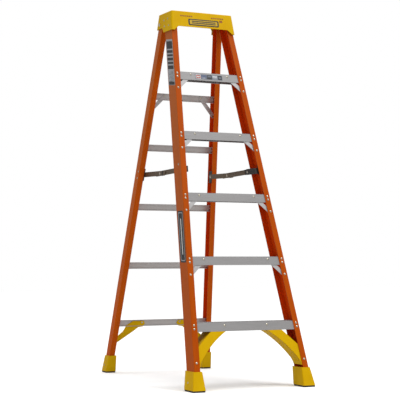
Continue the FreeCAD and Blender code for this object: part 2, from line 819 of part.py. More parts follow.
def make_cap():
    """A moulded box, open below, with a tray top, deep ends and an arched front hem."""
    name = "top_cap"
    body = new_body(f"{name}_blank")
    hem, top = dim("cap_hem"), dim("cap_top")
    rings = []
    for level, inset, radius in ((hem, 0.0, 8.0), (top - 2.2, 0.0, 8.0), (top, 2.0, 6.0)):
        ring = new_sketch(body, "XY_Plane", f"ring_{len(rings)}", level)
        rounded_box(ring, cap_ring(level, inset, inset), radius)
        rings.append(ring)
    shell = body.newObject("PartDesign::AdditiveLoft", "Shell")
    shell.Profile = rings[0]
    shell.Sections = rings[1:]
    shell.Ruled = True

    cavity = []
    for level in (hem - 2.0, top - dim("cap_plate")):
        ring = new_sketch(body, "XY_Plane", f"cavity_{len(cavity)}", level)
        outline(ring, cap_ring(level, dim("cap_wall"), dim("cap_wall") + 0.6))
        cavity.append(ring)
    hollow = body.newObject("PartDesign::SubtractiveLoft", "Hollow")
    hollow.Profile = cavity[0]
    hollow.Sections = [cavity[1]]
    hollow.Ruled = True

    ceiling = top - dim("cap_plate")
    for word, side in SIDES.items():
        low = hem + 3.0
        web = front_web(low)
        seat = new_sketch(body, "XY_Plane", f"seat_{word}", low)
        outline(seat, box_corners(side, web + 0.05, web + 3.4, front_face(low) + 4.0,
                                  front_face(low) + dim("front_depth") - 4.0))
        run = Vector(-side * num(dim("front_splay")), num(front_slope), 1)
        pad(body, seat, ceiling - low + 1.0, along=run, name=f"Seat_{word}")
    rib_low = top - 19.0
    for across in (-72.0, 0.0, 72.0):
        rib = new_sketch(body, "YZ_Plane", f"rib_{int(across) + 100}", across)
        ends = [(-between("cap_front_hem", "cap_front_top", z) + 2.0,
                 between("cap_back_hem", "cap_back_top", z) - 2.0, z)
                for z in (rib_low, ceiling + 1.0)]
        outline(rib, [(ends[0][0], ends[0][2]), (ends[0][1], ends[0][2]),
                      (ends[1][1], ends[1][2]), (ends[1][0], ends[1][2])])
        pad(body, rib, 3.0, both=True, name=f"Rib_{int(across) + 100}")

    step_back = new_sketch(body, "YZ_Plane", "hem_step")
    outline(step_back, [(68.0, hem - 12.0), (68.0, hem), (87.0, hem + 24.0), (190.0, hem + 24.0),
                        (190.0, hem - 12.0)])
    pocket(body, step_back, 500.0, both=True, name="HemStep")
    arch = new_sketch(body, "XZ_Plane", "front_arch")
    outline(arch, [(-155.0, hem - 8.0), (-151.0, hem + 3.0), (-131.0, hem + 20.0),
                   (131.0, hem + 20.0), (151.0, hem + 3.0), (155.0, hem - 8.0)])
    pocket(body, arch, 600.0, both=True, name="Arch")
    gate = new_sketch(body, "XZ_Plane", "back_gate", -100.0)
    outline(gate, [(-132.0, hem - 8.0), (-131.0, hem + 44.0), (-118.0, hem + 62.0),
                   (118.0, hem + 62.0), (131.0, hem + 44.0), (132.0, hem - 8.0)])
    pocket(body, gate, 100.0, reverse=False, name="Gate")
    tray = new_sketch(body, "XY_Plane", "tray", top)
    outline(tray, cap_ring(top, dim("tray_rim"), dim("tray_rim")))
    pocket(body, tray, dim("tray_depth"), name="Tray")

    for word, side in SIDES.items():
        boss = new_sketch(body, "YZ_Plane", f"boss_{word}", side * BOSS_INNER)
        circle(boss, dim("hinge_back"), dim("hinge_height"), 11.0)
        disc = pad(body, boss, BOSS_FACE - BOSS_INNER, name=f"Boss_{word}")
        disc.Reversed = side < 0
    keep(name, body)
    spots = ((72.3, 1720.5), (30.5, 1723.0), (62.4, 1690.0), (13.0, 1688.0))
    flare = num(dim("cap_half_hem") - dim("cap_half_top")) / num(dim("cap_top") - dim("cap_hem"))
    for word, side in SIDES.items():
        out_way = unit(side, 0, flare)
        for y, z in spots:
            outer = num(between("cap_half_hem", "cap_half_top", Size.of(z)))
            grip = outer - num(front_web(z)) + num(dim("rail_wall")) + 0.06
            cap_rivets.append(rivet(Vector(side * outer, y, z), out_way, grip,
                                    [name, f"front_rail_{word}"], head=4.8))


BOSS_INNER = 163.4
BOSS_FACE = 167.0
make_cap()

# ---------------------------------------------------------------- rear section hinge

NUT_FACE = 155.4
NUT_FLANGE = 1.2
NUT_TALL = 5.5
NUT_FLATS = 12.0


def make_hinge():
    bolts = []
    nuts = []
    radius = num(dim("hinge_bolt"))
    for word, side in SIDES.items():
        way = Vector(side, 0, 0)
        face = vec(side * BOSS_FACE, dim("hinge_back"), dim("hinge_height"))
        tip = NUT_FACE - NUT_FLANGE - NUT_TALL - 1.2
        shank = Part.makeCylinder(radius, BOSS_FACE - tip + 0.05, face + way * 0.05, -way)
        bolts.append(dome(face, way, 8.0, 3.4).fuse(shank).removeSplitter().Solids[0])
        seat = vec(side * NUT_FACE, dim("hinge_back"), dim("hinge_height"))
        flange = Part.makeCylinder(8.0, NUT_FLANGE, seat, -way)
        corners = []
        for step in range(7):
            angle = math.radians(60 * step)
            reach = NUT_FLATS / math.sqrt(3)
            corners.append(seat + Vector(0, reach * math.cos(angle), reach * math.sin(angle)))
        prism = Part.Face(Part.makePolygon(corners)).extrude(-way * (NUT_FLANGE + NUT_TALL))
        bore = Part.makeCylinder(radius, 40, seat + way * 10, -way)
        nuts.append(flange.fuse(prism).cut(bore).removeSplitter().Solids[0])
        drillings.setdefault("top_cap", []).append((face + way * 8, -way, radius, 30))
        loose = radius + num(dim("hinge_clearance"))
        drillings.setdefault(f"rear_rail_{word}", []).append((face, -way, loose, 30))
    rivet_group("hinge_bolts", bolts)
    rivet_group("hinge_nuts", nuts)


make_hinge()

# ---------------------------------------------------------------- spreaders

# Layers across the ladder at the spreaders' height, from the middle outward: front ear,
# front arm, rear arm, rear ear.  Each pair of layers has a small gap for running.
FRONT_EAR = (174.9, 177.3)
FRONT_ARM = (177.5, 180.1)
REAR_ARM = (180.5, 183.1)
REAR_EAR = (183.4, 186.0)
front_pins = []
rear_pins = []


def make_front_bracket(word, side):
    """A plate on the web inside the channel, a wall inward, and an ear that runs back."""
    name = f"front_spreader_bracket_{word}"
    body = new_body(f"{name}_blank")
    spread = dim("spread_height")
    run = Vector(-side * num(dim("front_splay")), num(front_slope), 1)
    low = spread - 17.0
    web = front_web(low) - dim("rail_wall")
    face = front_face(low)
    base = new_sketch(body, "XY_Plane", f"{name}_base", low)
    outline(base, box_corners(side, web - 3.0, web - 0.05, face + 6.0, face + 48.0))
    pad(body, base, 48.0, along=run, name="Base")
    level = spread - 14.0
    web = front_web(level)
    inner = web - (num(front_web(spread)) - FRONT_EAR[0])
    outer = web - (num(front_web(spread)) - FRONT_EAR[1])
    face = front_face(level)
    reach = dim("front_pin_back") + 14.0 - front_face(spread)
    arm = new_sketch(body, "XY_Plane", f"{name}_ear", level)
    outline(arm, [(side * inner, face + 12.0), (side * (web - 5.0), face + 12.0),
                  (side * (web - 5.0), face + 15.0), (side * outer, face + 15.0),
                  (side * outer, face + reach), (side * inner, face + reach)])
    ear = pad(body, arm, 28.0, along=run, name="Ear")
    tip = num(front_face(spread) + reach)

    def ear_corner(edge):
        middle = edge.CenterOfMass
        return edge.Length < 4 and middle.y > tip - 6

    round_edges(body, ear, 10.0, ear_corner)
    keep(name, body)
    spot_z = Size.of(1006.0)
    spot = vec(side * front_web(spot_z), -201.0, spot_z)
    lower_rivets.append(rivet(spot, web_out(side, "front_splay"), num(dim("rail_wall")) + 3.0,
                              [name, f"front_rail_{word}"]))
    return name


def make_rear_bracket(word, side):
    """A bent plate whose ear stands at the rear flange's inner edge."""
    name = f"rear_spreader_bracket_{word}"
    body = new_body(f"{name}_blank")
    spread = dim("spread_height")
    run = Vector(-side * num(dim("rear_splay")), -num(rear_slope), 1)
    low = spread - 30.0
    web = rear_web(low)
    inner = web - (num(rear_web(spread)) - REAR_EAR[0])
    outer = web - (num(rear_web(spread)) - REAR_EAR[1])
    face = rear_face(low)
    plate = new_sketch(body, "XY_Plane", f"{name}_section", low)
    skin = web - dim("rail_wall") - 0.05
    outline(plate, [(side * inner, face - 3.0), (side * outer, face - 3.0),
                    (side * outer, face + 23.0), (side * (skin - 3.0), face + 23.0),
                    (side * (skin - 3.0), face + 5.0), (side * skin, face + 5.0),
                    (side * skin, face + 26.0), (side * inner, face + 26.0)])
    pad(body, plate, 59.0, along=run)
    keep(name, body)
    for height in (968.0, 1001.0):
        spot = vec(side * rear_web(height), rear_face(height) + 13.0, height)
        rear_rivets.append(rivet(spot, web_out(side, "rear_splay"), num(dim("rail_wall")) + 3.1,
                                 [name, f"rear_rail_{word}"], head=4.6))
    return name


def arm_shape(name, side, layer, pin, tail, splay, shift, hole_far):
    """A flat arm with round ends, in the plane square to its own pin."""
    body = new_body(f"{name}_blank")
    pin_y, pin_z = pin
    far_y = dim("knuckle_back") - pin_y
    far_z = dim("knuckle_height") - pin_z
    length = math.hypot(num(far_y), num(far_z))
    along = (num(far_y) / length, num(far_z) / length)
    radius = num(dim("arm_height")) / 2
    beside = (-along[1] * radius, along[0] * radius)
    stretch = 1 + num(tail) / length
    end = (far_y * stretch, far_z * stretch)
    sketch = new_sketch(body, "YZ_Plane", f"{name}_plate")
    outline(sketch, [(Size.of(beside[0]), Size.of(beside[1])), (Size.of(-beside[0]), Size.of(-beside[1])),
                     (end[0] - beside[0], end[1] - beside[1]), (end[0] + beside[0], end[1] + beside[1])],
            {0: -radius * 1.0001, 2: -radius * 1.0001})
    circle(sketch, 0, 0, dim("arm_pin") + dim("pin_clearance"), "pin")
    circle(sketch, far_y, far_z, hole_far, "knuckle")
    plate = pad(body, sketch, dim("arm_thick"))
    plate.Reversed = side < 0
    turn = Rotation(Vector(0, 1, 0), -side * math.degrees(math.atan(splay)))
    body.Placement = Placement(vec(side * layer[0] + shift, pin_y, pin_z), turn)
    keep(name, body)
    return body.Placement


def pin_solid(base, way, head_back, length, head=6.2):
    """A round pin with a button head; base is under the head and way points along the pin."""
    radius = num(dim("arm_pin"))
    stem = Part.makeCylinder(radius, length + 0.05, base - way * 0.05, way)
    return dome(base, -way, head, head_back).fuse(stem).removeSplitter().Solids[0]


def make_spreader(word, side):
    spread = dim("spread_height")
    front_bracket = make_front_bracket(word, side)
    rear_bracket = make_rear_bracket(word, side)
    radius = num(dim("arm_pin"))
    front_name = f"spreader_front_arm_{word}"
    rear_name = f"spreader_rear_arm_{word}"
    front_place = arm_shape(front_name, side, FRONT_ARM, (dim("front_pin_back"), spread),
                            dim("front_tail"), num(dim("front_splay")), 0, dim("arm_pin"))
    rear_place = arm_shape(rear_name, side, REAR_ARM, (dim("rear_pin_back"), spread),
                           dim("rear_tail"), num(dim("rear_splay")), 0, dim("arm_pin"))
    front_way = front_place.Rotation.multVec(Vector(side, 0, 0))
    rear_way = rear_place.Rotation.multVec(Vector(side, 0, 0))

    ear_gap = FRONT_ARM[0] - FRONT_EAR[0]
    arm = num(dim("arm_thick"))
    pin = front_place.Base
    head_seat = pin - front_way * ear_gap
    solid = pin_solid(head_seat, front_way, 2.6, ear_gap + arm + 1.4)
    washer = Part.makeCylinder(5.6, 1.2, pin + front_way * (arm + 0.2), front_way)
    front_pins.append(solid.fuse(washer).removeSplitter().Solids[0])
    drillings.setdefault(front_bracket, []).append((head_seat - front_way * 6, front_way, radius, 10))

    pin = rear_place.Base
    head_seat = pin - rear_way * 0.2
    reach = REAR_EAR[1] - REAR_ARM[0] + 0.4
    rear_pins.append(pin_solid(head_seat, rear_way, 2.2, reach))
    drillings.setdefault(rear_bracket, []).append((pin + rear_way * (arm + 0.1), rear_way, radius, 8))

    far_y = num(dim("knuckle_back"))
    far_z = num(dim("knuckle_height"))
    for label, place, outward, pin_back in (
            (f"spreader_front_knuckle_{word}", front_place, False, "front_pin_back"),
            (f"spreader_rear_knuckle_{word}", rear_place, True, "rear_pin_back")):
        way = place.Rotation.multVec(Vector(side, 0, 0))
        local = Vector(0, far_y - num(dim(pin_back)), far_z - num(spread))
        inner_face = place.multVec(local)
        if outward:
            solid = pin_solid(inner_face + way * arm, -way, 2.4, arm)
        else:
            solid = pin_solid(inner_face, way, 2.4, arm)
        rivet_group(label, [solid])


for word, side in SIDES.items():
    make_spreader(word, side)
rivet_group("front_spreader_pins", front_pins)
rivet_group("rear_spreader_pins", rear_pins)
rivet_group("step_rivets", step_rivets)
rivet_group("knee_brace_rivets", knee_rivets)
rivet_group("lower_front_rivets", lower_rivets)
rivet_group("cap_rivets", cap_rivets)
rivet_group("rear_section_rivets", rear_rivets)

# ---------------------------------------------------------------- holes, checks and files


def cut(name, base, tool, what):
    result = doc.addObject("Part::Cut", f"{name}_{what}")
    result.Base = base
    result.Tool = tool
    return result


for step in range(2, STEP_COUNT + 1):
    notches[f"step_{step}"] = [parts[f"knee_brace_{step}_{word}"] for word in SIDES]
for name, tools in notches.items():
    shape = parts[name]
    for count, tool in enumerate(tools):
        shape = cut(name, shape, tool, f"notched_{count}")
    parts[name] = shape
for name, holes in drillings.items():
    drill = doc.addObject("Part::Feature", f"{name}_drill")
    drill.Shape = Part.makeCompound([Part.makeCylinder(radius, length, start, way)
                                     for start, way, radius, length in holes])
    parts[name] = cut(name, parts[name], drill, "drilled")
doc.recompute()

for item in doc.Objects:
    if "Invalid" in item.State or "Error" in item.State:
        raise RuntimeError(f"{item.Label} failed: {item.State}")
for name, item in parts.items():
    item.Label = name
    shape = item.Shape
    if shape.isNull() or not shape.isValid() or shape.Volume <= 0:
        raise RuntimeError(f"{name} has no good shape")

os.makedirs("parts", exist_ok=True)
for name, item in sorted(parts.items()):
    item.Shape.exportStep(os.path.join("parts", f"{name}.step"))
    box = item.Shape.optimalBoundingBox(False)
    print(f"{name:34s} solids {len(item.Shape.Solids):3d} volume {item.Shape.Volume / 1000:9.1f} cm3 "
          f"z {box.ZMin:7.1f} to {box.ZMax:7.1f}")
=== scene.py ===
import json
import math

import bmesh
import bpy
from mathutils import Matrix, Vector


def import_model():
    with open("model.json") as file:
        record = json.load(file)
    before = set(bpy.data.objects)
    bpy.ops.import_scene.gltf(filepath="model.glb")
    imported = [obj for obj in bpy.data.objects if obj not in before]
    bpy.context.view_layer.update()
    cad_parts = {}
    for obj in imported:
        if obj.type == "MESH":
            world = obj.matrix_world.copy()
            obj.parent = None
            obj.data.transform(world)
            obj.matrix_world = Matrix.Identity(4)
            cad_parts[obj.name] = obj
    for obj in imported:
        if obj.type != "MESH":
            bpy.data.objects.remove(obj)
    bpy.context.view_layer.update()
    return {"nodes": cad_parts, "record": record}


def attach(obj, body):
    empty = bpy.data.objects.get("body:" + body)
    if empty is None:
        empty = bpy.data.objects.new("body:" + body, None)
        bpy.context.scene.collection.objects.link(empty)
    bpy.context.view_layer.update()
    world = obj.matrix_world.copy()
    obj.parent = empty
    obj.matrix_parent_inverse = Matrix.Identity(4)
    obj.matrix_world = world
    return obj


# Looks of a folding step ladder round its CAD frame.  Metres, +Z up, steps climbed from -Y.
# Labels and trim are laid out in millimetres and scaled by MM when their meshes are made.

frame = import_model()
nodes = frame["nodes"]
MM = 0.001

# ---------------------------------------------------------------- where the ladder's faces are

# A rail leans along Y by its slope and inwards by its splay for each unit of height.  At the
# floor its -Y edge is TOE from the origin and its outer face is HALF from the middle.
FRONT_TOE, FRONT_SLOPE, FRONT_HALF, FRONT_SPLAY = 547.2, 0.3175, 291.4, 0.077
REAR_TOE, REAR_SLOPE, REAR_HALF, REAR_SPLAY = 489.5, 0.2333, 287.9, 0.075
FRONT_DEPTH, REAR_DEPTH = 81.9, 48.0              # the rails' depth in a level cut
WALL = 3.6
CAP_FRONT, CAP_HEM, CAP_LEAN = -29.0, 1661.0, 0.225   # the cap's front face at its hem
TRAY_FLOOR = 1754.0                               # height of the floor of the cap's tray
APRON_TOP = 1453.2                                # height of the top step's tread, under its ribs
PIN_HEIGHT = 985.0                                # all four spreader pins
FRONT_PIN, REAR_PIN = -141.0, 266.0               # the pins along Y
KNUCKLE = (77.0, 980.5)                           # y and z of the spreaders' middle pivot
FRONT_LAYER, REAR_LAYER = 177.5, 180.5            # x of the arms' inner faces at their pins
ARM_HALF, ARM_THICK = 12.0, 2.6
SIDES = (("left", -1), ("right", 1))


def front_face(z):
    return FRONT_SLOPE * z - FRONT_TOE


def front_web(z):
    return FRONT_HALF - FRONT_SPLAY * z


def unit(x, y, z):
    return Vector((x, y, z)).normalized()


def link(thing):
    bpy.context.scene.collection.objects.link(thing)


# ---------------------------------------------------------------- materials


class Shader:
    """A node material: add() makes a node and sets or links its inputs."""

    def __init__(self, name):
        self.mat = bpy.data.materials.new(name)
        self.mat.use_nodes = True
        self.tree = self.mat.node_tree
        self.bsdf = self.tree.nodes["Principled BSDF"]

    def add(self, kind, inputs=None, **props):
        node = self.tree.nodes.new("ShaderNode" + kind)
        for key, value in props.items():
            setattr(node, key, value)
        for key, value in (inputs or {}).items():
            self.feed(node.inputs[key], value)
        return node

    def feed(self, socket, value):
        if isinstance(value, bpy.types.NodeSocket):
            self.tree.links.new(value, socket)
        else:
            socket.default_value = value

    def set(self, **values):
        for key, value in values.items():
            self.feed(self.bsdf.inputs[key.replace("_", " ")], value)

    def math(self, op, a, b=0.0):
        return self.add("Math", {0: a, 1: b}, operation=op).outputs[0]

    def linear(self, value, gain, offset):
        return self.math("ADD", self.math("MULTIPLY", value, gain), offset)

    def mix(self, factor, low, high, kind="MIX"):
        node = self.add("MixRGB", {"Fac": factor, "Color1": low, "Color2": high}, blend_type=kind)
        return node.outputs["Color"]

    def noise(self, vector, scale, detail, rough):
        node = self.add("TexNoise", {"Vector": vector, "Scale": scale, "Detail": detail,
                                     "Roughness": rough})
        return node.outputs["Fac"]

    def ramp(self, value, low, high, to_low=0.0, to_high=1.0):
        node = self.add("MapRange", {"Value": value, "From Min": low, "From Max": high,
                                     "To Min": to_low, "To Max": to_high})
        return node.outputs["Result"]

    def tint(self, tone, value, low, high, amount, colour):
        """Lets a colour in, up to amount, as value rises from low to high."""
        return self.mix(self.math("MULTIPLY", self.ramp(value, low, high), amount), tone, colour)

    def stretch(self, vector, scale):
        return self.add("Mapping", {"Vector": vector, "Scale": scale}).outputs["Vector"]

    def place(self):
        return self.add("TexCoord").outputs["Object"]

    def split(self, vector):
        return self.add("SeparateXYZ", {0: vector}).outputs

    def relief(self, heights, soften):
        """Bump from (height socket, strength, distance) triples, over slightly rounded edges."""
        normal = self.add("Bevel", {"Radius": soften}, samples=4).outputs["Normal"]
        for height, strength, distance in heights:
            normal = self.add("Bump", {"Height": height, "Strength": strength, "Distance": distance,
                                       "Normal": normal}).outputs["Normal"]
        self.set(Normal=normal)


def rgb(r, g, b):
    return (r, g, b, 1.0)


def rail_inside(s, along, section):
    """1 inside the channel and 0 on its outer faces."""
    half, low, high = section
    across, back, _ = s.split(along)
    inside = s.math("LESS_THAN", s.math("ABSOLUTE", across), half)
    inside = s.math("MULTIPLY", inside, s.math("GREATER_THAN", back, low))
    return s.math("MULTIPLY", inside, s.math("LESS_THAN", back, high))


def rail_material(name, side, splay, slope, section, lift=1.0):
    """Pultruded composite: fine streaks along the rail, faint cloudiness, a deep red painted shade and
    bounce light inside the channel, a painted pale sheen on the side faces and painted light that
    brightens a whole rail by lift.

    section is (half width, lowest and highest offset along Y of the channel's inside), in metres.
    """
    s = Shader(name)
    x, y, z = s.split(s.place())
    along = s.add("CombineXYZ", {
        0: s.math("ADD", x, s.math("MULTIPLY", z, side * splay)),
        1: s.math("SUBTRACT", y, s.math("MULTIPLY", z, slope)), 2: z}).outputs[0]
    streak = s.noise(s.stretch(along, (1, 1, 0.012)), 620.0, 4.0, 0.6)
    veil = s.noise(s.stretch(along, (1, 1, 0.08)), 60.0, 5.0, 0.6)
    cloud = s.noise(along, 9.0, 2.0, 0.5)
    fibre = s.noise(s.stretch(along, (1, 1, 0.35)), 900.0, 2.0, 0.7)
    streaky = s.ramp(streak, 0.3, 0.7)
    tone = s.mix(streaky, rgb(0.40, 0.060, 0.0005), rgb(0.51, 0.085, 0.001))
    tone = s.tint(tone, veil, 0.45, 0.75, 0.35, rgb(0.54, 0.098, 0.002))
    tone = s.tint(tone, cloud, 0.35, 0.7, 0.25, rgb(0.36, 0.050, 0.001))
    tone = s.tint(tone, fibre, 0.60, 0.78, 0.28, rgb(0.60, 0.15, 0.01))
    # Painted light: lift brightens the whole rail's colour.
    tone = s.mix(1.0, tone, rgb(lift, lift, lift), "MULTIPLY")
    # Painted sheen: faces that point along X get a pale pinkish tone, stronger higher up, in place of a
    # reflection of the white surroundings.
    facing = s.split(s.add("NewGeometry").outputs["Normal"])[0]
    broad = s.ramp(s.math("ABSOLUTE", facing), 0.75, 0.95)
    sheen_rise = s.ramp(z, 0.2, 1.4, 0.08, 0.55)
    tone = s.mix(s.math("MULTIPLY", broad, sheen_rise), tone, rgb(0.45, 0.150, 0.040))
    # Painted shade and bounce light: inside the channel the colour turns a deep, saturated red.
    channel_shade = s.mix(streaky, rgb(0.64, 0.050, 0.001), rgb(0.72, 0.064, 0.001))
    tone = s.mix(rail_inside(s, along, section), tone, channel_shade)
    s.set(Base_Color=tone, Roughness=s.linear(streak, 0.16, 0.36), Specular_IOR_Level=0.06)
    s.relief([(streak, 0.25, 0.0002), (fibre, 0.12, 0.0001)], 0.0009)
    return s.mat


def plastic_material(name, base, shade, rub):
    """Moulded plastic: fine spark-eroded grain, soft flow marks and rubbed, dusty patches."""
    s = Shader(name)
    at = s.place()
    grain = s.noise(at, 1500.0, 2.0, 0.6)
    flow = s.noise(s.stretch(at, (1, 1, 0.4)), 14.0, 4.0, 0.6)
    scuff = s.noise(s.stretch(at, (1, 1, 3)), 45.0, 6.0, 0.72)
    tone = s.mix(s.ramp(flow, 0.35, 0.7), shade, base)
    tone = s.tint(tone, scuff, 0.60, 0.80, 0.35, rub)
    s.set(Base_Color=tone, Roughness=s.linear(scuff, 0.22, 0.36), Specular_IOR_Level=0.06)
    s.relief([(grain, 0.16, 0.00012), (flow, 0.10, 0.0006)], 0.0011)
    return s.mat


def metal_material(name, axis, base, dark, rough_low, rough_high):
    """Mill-finish extrusion: hairlines along one axis, faint handling stains."""
    s = Shader(name)
    at = s.place()
    scale = [1.0, 1.0, 1.0]
    scale[axis] = 0.006
    hair = s.noise(s.stretch(at, scale), 1700.0, 4.0, 0.65)
    band = s.noise(s.stretch(at, scale), 260.0, 3.0, 0.6)
    stain = s.noise(at, 16.0, 5.0, 0.62)
    tone = s.mix(s.ramp(hair, 0.3, 0.7), dark, base)
    tone = s.tint(tone, stain, 0.5, 0.75, 0.35, dark)
    uneven = s.math("ADD", s.math("MULTIPLY", band, 0.6), s.math("MULTIPLY", stain, 0.4))
    s.set(Base_Color=tone, Roughness=s.ramp(uneven, 0.3, 0.7, rough_low, rough_high), Metallic=0.2,
          Anisotropic=0.3)
    s.relief([(hair, 0.18, 0.00008), (band, 0.10, 0.0002)], 0.0005)
    return s.mat


def plated_material(name, base, dark, rough, metallic=0.85, wear=None, contact_shade=0.0):
    """Small pressed or turned steel: blotchy plating, rubbed spots, painted shade where it meets a
    face.
    """
    s = Shader(name)
    at = s.place()
    blotch = s.noise(at, 260.0, 4.0, 0.6)
    fine = s.noise(at, 1900.0, 3.0, 0.7)
    tone = s.mix(s.ramp(blotch, 0.35, 0.65), dark, base)
    if wear is not None:
        rubbed = s.noise(s.stretch(at, (1, 0.25, 1)), 120.0, 6.0, 0.75)
        tone = s.tint(tone, rubbed, 0.60, 0.74, 0.6, wear)
    if contact_shade > 0.0:
        # Painted shade: the colour darkens where ambient occlusion finds a nearby face.
        open_air = s.add("AmbientOcclusion", {"Distance": 0.004}, samples=8).outputs["AO"]
        hidden = s.math("SUBTRACT", 1.0, open_air)
        tone = s.tint(tone, hidden, 0.15, 0.6, contact_shade, rgb(0.05, 0.042, 0.035))
    s.set(Base_Color=tone, Metallic=metallic, Roughness=s.linear(blotch, 0.2, rough))
    s.relief([(fine, 0.15, 0.00008)], 0.0004)
    return s.mat


def rubber_material(name):
    """Dusty rubber, speckled, with fine grip ribs."""
    s = Shader(name)
    at = s.place()
    speck = s.noise(at, 900.0, 4.0, 0.7)
    dust = s.noise(at, 60.0, 5.0, 0.65)
    tone = s.tint(rgb(0.028, 0.028, 0.030), dust, 0.45, 0.75, 0.5, rgb(0.10, 0.095, 0.085))
    ribs = s.add("TexWave", {"Vector": at, "Scale": 90.0, "Distortion": 0.0},
                 bands_direction="Y").outputs["Fac"]
    s.set(Base_Color=tone, Roughness=0.78, Specular_IOR_Level=0.3)
    s.relief([(speck, 0.3, 0.0002), (ribs, 0.35, 0.0006)], 0.0008)
    return s.mat


def film_material(name, base, shade, rough=0.35, metallic=0.0):
    """Printed film: nearly even colour with a slight orange-peel and dulled patches."""
    s = Shader(name)
    at = s.place()
    peel = s.noise(at, 420.0, 2.0, 0.5)
    dull = s.noise(at, 40.0, 5.0, 0.7)
    tone = s.mix(s.ramp(dull, 0.4, 0.7), base, shade)
    s.set(Base_Color=tone, Metallic=metallic, Specular_IOR_Level=0.25,
          Roughness=s.linear(dull, 0.25, rough - 0.1))
    s.relief([(peel, 0.08, 0.0002)], 0.0002)
    return s.mat


yellow = plastic_material("moulded_yellow_grained", rgb(0.70, 0.435, 0.0005), rgb(0.64, 0.37, 0.0005),
                          rgb(0.64, 0.43, 0.01))
tread = metal_material("tread_extrusion", 0, rgb(0.36, 0.35, 0.35), rgb(0.27, 0.265, 0.265), 0.46, 0.62)
bar = metal_material("bar_extrusion", 0, rgb(0.58, 0.555, 0.545), rgb(0.47, 0.45, 0.44), 0.46, 0.62)
strip = metal_material("strip_sheet", 2, rgb(0.52, 0.51, 0.51), rgb(0.42, 0.41, 0.41), 0.42, 0.58)
rivet = plated_material("rivet_plating", rgb(0.60, 0.56, 0.46), rgb(0.36, 0.33, 0.26), 0.20, 0.95,
                        contact_shade=0.85)
pin = plated_material("pin_plating", rgb(0.62, 0.58, 0.50), rgb(0.42, 0.39, 0.33), 0.25)
bolt = plated_material("bolt_plating", rgb(0.66, 0.62, 0.52), rgb(0.48, 0.45, 0.38), 0.25)
dark_steel = plated_material("spreader_coating", rgb(0.165, 0.118, 0.072), rgb(0.090, 0.064, 0.042),
                             0.34, 0.55, rgb(0.30, 0.24, 0.17))
black_steel = plated_material("bracket_coating", rgb(0.032, 0.029, 0.026), rgb(0.018, 0.016, 0.015),
                              0.38, 0.4, rgb(0.10, 0.09, 0.08))
rubber = rubber_material("pad_rubber_ribbed")
silver_film = film_material("film_silver", rgb(0.42, 0.43, 0.45), rgb(0.33, 0.34, 0.36), 0.38, 0.3)
black_film = film_material("film_black", rgb(0.018, 0.018, 0.020), rgb(0.035, 0.033, 0.032))
white_film = film_material("film_white", rgb(0.72, 0.72, 0.70), rgb(0.62, 0.61, 0.58))
red_film = film_material("film_red", rgb(0.42, 0.07, 0.06), rgb(0.34, 0.06, 0.05))
blue_film = film_material("film_blue", rgb(0.10, 0.13, 0.22), rgb(0.08, 0.10, 0.17))
amber_film = film_material("film_amber", rgb(0.34, 0.115, 0.003), rgb(0.28, 0.09, 0.002))
ochre_film = film_material("film_ochre", rgb(0.58, 0.37, 0.004), rgb(0.50, 0.31, 0.003))
slate_film = film_material("film_slate", rgb(0.15, 0.17, 0.21), rgb(0.11, 0.13, 0.16))

SLOT_LOOKS = {
    "moulded_yellow": yellow, "tread_aluminium": tread, "bar_aluminium": bar,
    "brace_strip": strip, "rivet_metal": rivet, "pin_steel": pin, "bolt_steel": bolt,
    "spreader_steel": dark_steel, "bracket_steel": black_steel, "pad_rubber": rubber,
}
SKIN = 0.4                                        # keeps the inside's tint off the outer faces
REAR_LIGHT_LIFT = 1.16                                  # painted light: the rear rails' colour is brightened to offset the shade they sit in


def inside_section(half, edge, depth):
    """Where a rail's inside lies, for rail_material; edge is its -Y edge along Y at the floor."""
    return ((half - WALL + SKIN) * MM, (edge + WALL - SKIN) * MM, (edge + depth - WALL + SKIN) * MM)


def dress_nodes():
    """Gives each CAD node its material: the rails by name, all others by material slot."""
    front_inside = inside_section(FRONT_HALF, -FRONT_TOE, FRONT_DEPTH)
    rear_inside = inside_section(REAR_HALF, REAR_TOE, REAR_DEPTH)
    rail_looks = {}
    for word, side in SIDES:
        rail_looks[f"front_rail_{word}"] = rail_material(f"rail_front_{word}", side, FRONT_SPLAY,
                                                         FRONT_SLOPE, front_inside)
        rail_looks[f"rear_rail_{word}"] = rail_material(f"rail_rear_{word}", side, REAR_SPLAY,
                                                        -REAR_SLOPE, rear_inside, REAR_LIGHT_LIFT)
    for entry in frame["record"]["subparts"]:
        name = entry["node"]
        look = rail_looks.get(name) or SLOT_LOOKS[entry["material_slot"]]
        for slot in nodes[name].material_slots:
            slot.material = look


# ---------------------------------------------------------------- outlines and small pieces

CORNER_STEPS = 6                                  # facets in a rounded corner
END_STEPS = 10                                    # facets in a round end


def ring_points(corners, radius):
    """The outline through the corners with each corner rounded, as (u, v) pairs."""
    spots = []
    count = len(corners)
    for i, corner in enumerate(corners):
        here = Vector(corner)
        before = (Vector(corners[i - 1]) - here).normalized()
        after = (Vector(corners[(i + 1) % count]) - here).normalized()
        opening = before.angle(after)
        reach = radius / math.tan(opening / 2)
        centre = here + (before + after).normalized() * (radius / math.sin(opening / 2))
        start = here + before * reach - centre
        sweep = math.pi - opening
        turn = 1 if before.cross(after) < 0 else -1
        for step in range(CORNER_STEPS + 1):
            angle = turn * sweep * step / CORNER_STEPS
            spots.append((centre.x + start.x * math.cos(angle) - start.y * math.sin(angle),
                          centre.y + start.x * math.sin(angle) + start.y * math.cos(angle)))
    return spots


def rectangle(low_u, low_v, high_u, high_v):
    return [(low_u, low_v), (high_u, low_v), (high_u, high_v), (low_u, high_v)]


def rounded(low_u, low_v, high_u, high_v, radius):
    return ring_points(rectangle(low_u, low_v, high_u, high_v), radius)


